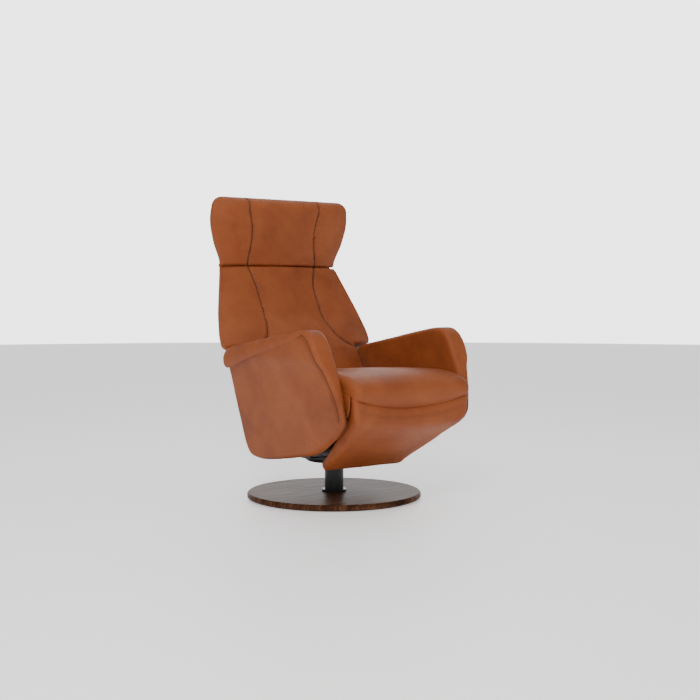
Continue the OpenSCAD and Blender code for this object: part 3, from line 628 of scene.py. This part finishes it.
def head_cover(leather, thread):
    levels = np.arange(HEAD_LOW_ROUND, HEAD_TOP + 0.0001, ROW_STEP)
    body = cover_rings(levels, HEAD)
    low = rounded_end(body[0], HEAD_LOW_ROUND, 0.008, -1, 8, 0.0)[::-1]
    top = rounded_end(body[-1], HEAD_TOP_ROUND, HEAD_TOP_MIDDLE, 1, 20, 1.0)
    rings = np.array(low + list(body) + top)
    piece = ring_mesh("headrest_cover", on_head(rings), leather)
    crumple(piece, 0.0011, 8.0, 3.1)
    lines = []
    for side in (-1, 1):
        local = seam_line(rings, HEAD, side)
        x, y, z = local[-1]
        over = np.concatenate([local, [[x, 2 * HEAD_TOP_MIDDLE - y, z]]])
        seam_puckers(piece, on_head(resample(over, LINE_STEP)))
        line = on_head(resample(local, LINE_STEP))
        bend_at_neck(seam_welt("headrest_seam_" + SIDE_NAME[side], piece, line, thread, None))
        lines += rows_beside(piece, line)
    bend_at_neck(stitches("headrest_stitches", lines, thread, None))
    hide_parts("headrest_cushion", "headrest_shell")
    bend_at_neck(piece)
    return piece


BACK = {
    "half": [(-.44, .228), (-.345, .232), (-.336, .234), (-.328, .246), (-.322, .272), (-.316, .298),
             (-.308, .311), (-.30, .315), (-.285, .315), (-.204, .301), (-.104, .274), (0, .244)],
    "seam_x": [(-.44, .224), (-.345, .223), (-.335, .205), (-.31, .170), (-.275, .143), (-.19, .123),
               (-.10, .123), (0, .146)],
    "seam_y": [(-.44, -.040), (-.345, -.036), (-.275, -.0294), (-.19, -.0115), (-.10, -.008), (0, -.0176)],
    "crown": [(-.44, .006), (-.38, .014), (-.30, .018), (-.20, .009), (-.10, .008), (0, .006)],
    "wing": [(-.44, .001), (-.345, .001), (-.30, .005), (-.15, .007), (0, .004)],
    "depth": [(-.44, .030), (-.30, .040), (0, .038)],
    "bulge": [(-.44, .022), (-.30, .032), (-.12, .028), (0, .012)],
}
BACK_FOOT = -0.428
BACK_TOP_ROUND = 0.013
PIPING_FOOT = -0.30
PIPING_RADIUS = 0.0036


def back_cover(leather, thread):
    levels = np.arange(BACK_FOOT, -BACK_TOP_ROUND + 0.0001, ROW_STEP)
    body = cover_rings(levels, BACK)
    low = rounded_end(body[0], 0.010, 0.010, -1, 6)[::-1]
    top = rounded_end(body[-1], BACK_TOP_ROUND, 0.008, 1, 8, 0.0)
    rings = np.array(low + list(body) + top)
    piece = ring_mesh("back_cover", on_back(rings), leather)
    crumple(piece, 0.0013, 7.0, 11.4)
    lines = []
    for side in (-1, 1):
        line = on_back(resample(seam_line(rings, BACK, side), LINE_STEP))
        seam_puckers(piece, line)
        seam_welt("back_seam_" + SIDE_NAME[side], piece, line, thread, "back")
        lines += rows_beside(piece, line)
    stitches("back_stitches", lines, thread, "back")
    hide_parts("back_cushion", "back_shell")
    finish_leather(piece, "back")
    upper = levels[levels > PIPING_FOOT]
    half = smooth_table(BACK["half"], upper)
    for side in (-1, 1):
        edge = np.stack([side * (half - 0.0015), np.full(len(upper), 0.001), upper], -1)
        line = on_back(resample(edge, 0.005))
        piping = tube("back_piping_" + SIDE_NAME[side], line, PIPING_RADIUS, leather)
        finish_leather(piping, "back")
    return piece


# ---------------------------------------------------------------- seat, footrest and arms
SEAT_HALF = 0.235


def inset_rings(outline_at, half_at, core, rim, places):
    """Rings across a pad: rounded rims at both sides, where the outline draws in towards its core."""
    rings = []
    rim_angles = np.linspace(0, math.pi / 2, 9)
    for side in (-1, 1):
        part = []
        for a in rim_angles:
            flat = outline_at(side)
            pull = core(flat) - flat
            far = np.linalg.norm(pull, axis=1)[:, None] + 1e-9
            flat = flat + pull / far * np.minimum(far, rim * (1 - math.sin(a)))
            x = side * (half_at(flat) - rim * (1 - math.cos(a)))
            part.append(np.stack([x, flat[:, 0], flat[:, 1]], -1))
        rings.append(part)
    left, right = rings
    inner = []
    for u in places:
        flat = outline_at(u)
        inner.append(np.stack([u * (half_at(flat) - rim), flat[:, 0], flat[:, 1]], -1))
    return np.array(left + inner + right[::-1])


SEAT_BODY = [(.096, .349), (.100, .400), (.090, .432), (.04, .440), (-.05, .447), (-.15, .452), (-.25, .455),
             (-.32, .4545), (-.38, .446), (-.42, .430), (-.442, .408), (-.444, .388)]
SEAT_SMILE = [(-.437, .365), (-.422, .345), (-.404, .334)]
SEAT_CORNER = [(-.441, .381), (-.434, .372), (-.414, .372)]
SEAT_UNDER = [(-.385, .350), (-.30, .349), (0, .349)]


def seat_outline(u):
    """The seat from the side at a share u of its half width: its front lip curves up towards the corners."""
    t = min(1.0, abs(u)) ** 2.5
    lip = [tuple(np.array(a) * (1 - t) + np.array(b) * t) for a, b in zip(SEAT_SMILE, SEAT_CORNER)]
    return closed_curve(SEAT_BODY + lip + SEAT_UNDER, 300)


def seat_core(q):
    """The line inside the seat that its rims draw in towards."""
    return np.stack([np.clip(q[:, 0], -.395, .065), np.full(len(q), .398)], -1)


def seat_half(q):
    return np.full(len(q), SEAT_HALF)


def seat_cover(leather):
    rings = inset_rings(seat_outline, seat_half, seat_core, 0.026, np.linspace(-0.99, 0.99, 130))
    crown = 0.006 * np.clip(1 - (rings[..., 0] / SEAT_HALF) ** 2, 0, 1)
    top = np.clip((rings[..., 2] - 0.42) / 0.03, 0, 1)
    rings[..., 2] += (crown - 0.004) * top
    piece = ring_mesh("seat_cover", rings, leather)
    crumple(piece, 0.0016, 6.5, 5.2)
    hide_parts("seat_cushion")
    finish_leather(piece, "seat")
    return piece


def bend_at_lip(piece):
    """Bakes a footrest piece's placement into its mesh."""
    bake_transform(piece)
    return piece


PAD_CENTRE = [(-.400, .347), (-.423, .338), (-.428, .300), (-.415, .275), (-.361, .243), (-.318, .218),
              (-.275, .191), (-.212, .154), (-.165, .124)]
PAD_SIDE = [(-.410, .387), (-.430, .375), (-.433, .338), (-.423, .290), (-.361, .249), (-.318, .218),
            (-.275, .191), (-.212, .154), (-.165, .124)]
PAD_INNER = [(-.152, .146), (-.190, .1755), (-.250, .2205), (-.320, .2745), (-.378, .319)]


def pad_outline(u):
    """The footrest from the side at a share u of its half width."""
    t = min(1.0, abs(u)) ** 2.1
    face = [tuple(np.array(a) * (1 - t) + np.array(b) * t) for a, b in zip(PAD_CENTRE, PAD_SIDE)]
    return closed_curve(face + PAD_INNER, 260)


def pad_half(q):
    return smooth_table([(.10, .158), (.13, .162), (.24, .196), (.34, .232), (.40, .235)], q[:, 1])


def pad_core(q):
    """The line inside the footrest that its rims draw in towards."""
    y = np.interp(q[:, 1], [.14, .30, .35], [-.185, -.395, -.418])
    return np.stack([y, np.clip(q[:, 1], .145, .352)], -1)


def footrest_cover(leather):
    rings = inset_rings(pad_outline, pad_half, pad_core, 0.014, np.linspace(-0.99, 0.99, 120))
    piece = ring_mesh("footrest_cover", rings, leather)
    crumple(piece, 0.0012, 7.0, 8.8)
    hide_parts("footrest_pad")
    bend_at_lip(piece)
    return piece


def smile_stitches(piece, thread):
    """The double row that follows the curved seam between the seat and the footrest."""
    rows = []
    for drop in (0.008, 0.015):
        line = []
        for u in np.linspace(-0.95, 0.95, 90):
            t = abs(u) ** 2.5
            y = -.424 * (1 - t) + -.428 * t
            z = .318 * (1 - t) + .350 * t
            line.append([u * .226, y - 0.01, z - drop + .006])
        rows.append(on_surface(piece, resample(line, LINE_STEP)))
    return bend_at_lip(stitches("smile_stitches", rows, thread, None))


ARM_OUTLINE = [(-.399, .302), (-.404, .330), (-.391, .390), (-.368, .450), (-.340, .510), (-.315, .555),
               (-.296, .576), (-.272, .588), (-.235, .588), (-.180, .580), (-.100, .567), (-.010, .550),
               (.080, .534), (.160, .518), (.196, .506), (.216, .484), (.226, .456), (.221, .335),
               (.210, .220), (.204, .180), (.190, .152), (.160, .140), (.092, .138), (0, .150),
               (-.084, .163), (-.160, .176), (-.215, .190), (-.280, .222), (-.340, .256), (-.385, .286)]
ARM_INNER = [(.140, .185), (.230, .208), (.300, .232), (.335, .240), (.600, .246)]
ARM_OUTER = [(.140, .226), (.250, .247), (.335, .265), (.456, .293), (.500, .312), (.540, .316),
             (.600, .310)]
ARM_RIM = 0.016


def arm_cover(name, side, leather, thread, node_name):
    """An arm's padded cover, with a stitched seam along the top and front of its outer face."""
    flat = closed_curve(ARM_OUTLINE, 420)
    core = np.array([-.08, .37])
    pull = core - flat
    far = np.linalg.norm(pull, axis=1)[:, None]
    rings = []

    def face_ring(share, rim_turn, table, sign, swell):
        q = flat + pull * share + (pull / far) * ARM_RIM * (1 - math.sin(rim_turn)) * (1 - share)
        x = smooth_table(table, q[:, 1]) + sign * ARM_RIM * (1 - math.cos(rim_turn)) + swell
        return np.stack([side * x, q[:, 0], q[:, 1]], -1)

    inward = np.linspace(0.97, 0.0, 34)
    for share in inward:
        rings.append(face_ring(share, 0, ARM_INNER, 1, 0))
    for a in np.linspace(0, math.pi / 2, 8)[1:]:
        rings.append(face_ring(0, a, ARM_INNER, 1, 0))
    for a in np.linspace(math.pi / 2, 0, 8)[:-1]:
        rings.append(face_ring(0, a, ARM_OUTER, -1, 0))
    for share in inward[::-1]:
        rings.append(face_ring(share, 0, ARM_OUTER, -1, 0.006 * math.sin(math.pi * min(1, share * 1.4) / 2)))
    piece = ring_mesh(name, np.array(rings), leather)
    crumple(piece, 0.0012, 7.5, 2.0 + side)

    rim_line = []
    for q, p in zip(flat, pull / far):
        if q[1] > 0.30 and q[0] < 0.20:
            inside = q + p * 0.020
            x = float(smooth_table(ARM_OUTER, [inside[1]])[0]) + 0.004
            rim_line.append([side * x, inside[0], inside[1]])
    rim_line = np.array(rim_line)
    cut = int(np.argmax(np.linalg.norm(np.diff(rim_line, axis=0, append=rim_line[:1]), axis=1))) + 1
    rim_line = resample(np.roll(rim_line, -cut, axis=0), LINE_STEP)
    seam = on_surface(piece, rim_line)[0]
    seam_puckers(piece, seam, depth=0.0016)
    seam_welt(name + "_seam", piece, seam, thread, "seat")
    centre = np.array([side * .28, -.08, .37])
    toward = centre - seam
    toward /= np.linalg.norm(toward, axis=1)[:, None]
    rows = [on_surface(piece, seam + toward * gap) for gap in (SEAM_GAP, SEAM_GAP + 0.005)]
    stitches(name + "_stitches", rows, thread, "seat")
    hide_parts(node_name)
    finish_leather(piece, "seat")
    return piece


def arm_roll(name, side, leather):
    """The soft roll along the arm's outer top edge, fat at the rear and gone at the front crest."""
    path = [(.205, .474, .030, .015), (.16, .490, .033, .017), (.08, .508, .029, .016),
            (-.01, .527, .025, .014), (-.10, .546, .021, .012), (-.18, .561, .016, .009),
            (-.235, .572, .010, .006), (-.262, .577, .004, .003)]
    y = np.linspace(.205, -.262, 150)
    z, up, out = smooth_table(path, y).T
    rings = []
    a = np.linspace(0, 2 * math.pi, 40, endpoint=False)
    closing = np.clip((.205 - y) / 0.024, 0, 1)
    closing = np.sqrt(np.clip(1 - (1 - closing) ** 2, 0.0004, 1))
    for i in range(len(y)):
        grow = closing[i]
        x = .306 + out[i] * .5 + out[i] * grow * np.cos(a)
        rings.append(np.stack([side * x, np.full(len(a), y[i]), z[i] + up[i] * grow * np.sin(a)], -1))
    piece = ring_mesh(name, np.array(rings), leather)
    crumple(piece, 0.0012, 10.0, 7.0 + side)
    finish_leather(piece, "seat")
    return piece


# ---------------------------------------------------------------- pieces between the covers
def side_skirts(leather):
    """A leather panel at each side of the seat, between the footrest and the arm."""
    outline = [(-.409, .372), (-.404, .388), (-.360, .396), (-.300, .396), (-.262, .380), (-.262, .292),
               (-.300, .282), (-.350, .296), (-.390, .318), (-.404, .344)]
    flat = closed_curve(outline, 120)
    middle = flat.mean(0)
    for side in (-1, 1):
        rings = []
        for x, share in ((.2338, .5), (.2338, .03), (.2344, 0), (.2382, 0), (.2388, .03), (.2388, .5)):
            q = flat + (middle - flat) * share
            rings.append(np.stack([np.full(len(q), side * x), q[:, 0], q[:, 1]], -1))
        finish_leather(ring_mesh("side_skirt_" + SIDE_NAME[side], np.array(rings), leather), "seat")


GUSSET_HALF = 0.2405


def neck_gusset(leather):
    """The soft leather web behind the joint of the headrest and the back."""
    rings = []
    mid = np.array([.024, .002])
    for u in np.linspace(-1, 1, 80):
        x = u * GUSSET_HALF
        drop = 0.004 * math.cos(u * math.pi / 2)
        section = closed_curve([(-.003, -.009), (.012, -.018), (.030, -.022), (.042, -.010),
                                (.045 + drop, .002), (.042, .016), (.030, .026), (.012, .020),
                                (-.003, .009), (-.006, 0)], 72)
        squeeze = math.sqrt(max(0.02, 1 - abs(u) ** 10))
        section = mid + (section - mid) * squeeze
        y, z = NECK[1] + section[:, 0], NECK[2] + section[:, 1]
        rings.append(np.stack([np.full(len(section), x), y, z], -1))
    piece = ring_mesh("neck_gusset", np.array(rings), leather)
    crumple(piece, 0.0014, 16.0, 4.4)
    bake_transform(piece)
    return piece


def dress_nodes(materials):
    """Gives every CAD node that shows its slot's finish, with soft edges that catch the light."""
    slots = {part["node"]: part["material_slot"] for part in frame["record"]["subparts"]}
    for name, piece in frame["nodes"].items():
        if piece.hide_render:
            continue
        piece.data.materials.clear()
        piece.data.materials.append(materials[slots[name]])
        if slots[name] != "leather":
            edge = piece.modifiers.new("soft_edges", "BEVEL")
            edge.width = 0.0008
            edge.segments = 2
            edge.limit_method = "ANGLE"
            edge.angle_limit = math.radians(40)
            edge.harden_normals = False
        piece.data.shade_smooth()
        split = piece.modifiers.new("crisp_faces", "EDGE_SPLIT")
        split.split_angle = math.radians(38)


def main():
    """Builds the covers, dresses the CAD nodes that show, then lights and frames them."""
    materials = make_materials()
    leather, thread = materials["leather"], materials["thread"]
    head = head_cover(leather, thread)
    back = back_cover(leather, thread)
    seat = seat_cover(leather)
    pad = footrest_cover(leather)
    smile_stitches(pad, thread)
    arms = [arm_cover("arm_cover_left", 1, leather, thread, "arm_left"),
            arm_cover("arm_cover_right", -1, leather, thread, "arm_right")]
    rolls = [arm_roll("arm_roll_left", 1, leather), arm_roll("arm_roll_right", -1, leather)]
    gusset = neck_gusset(leather)
    side_skirts(leather)
    dress_nodes(materials)
    make_stage()
    make_camera()


main()
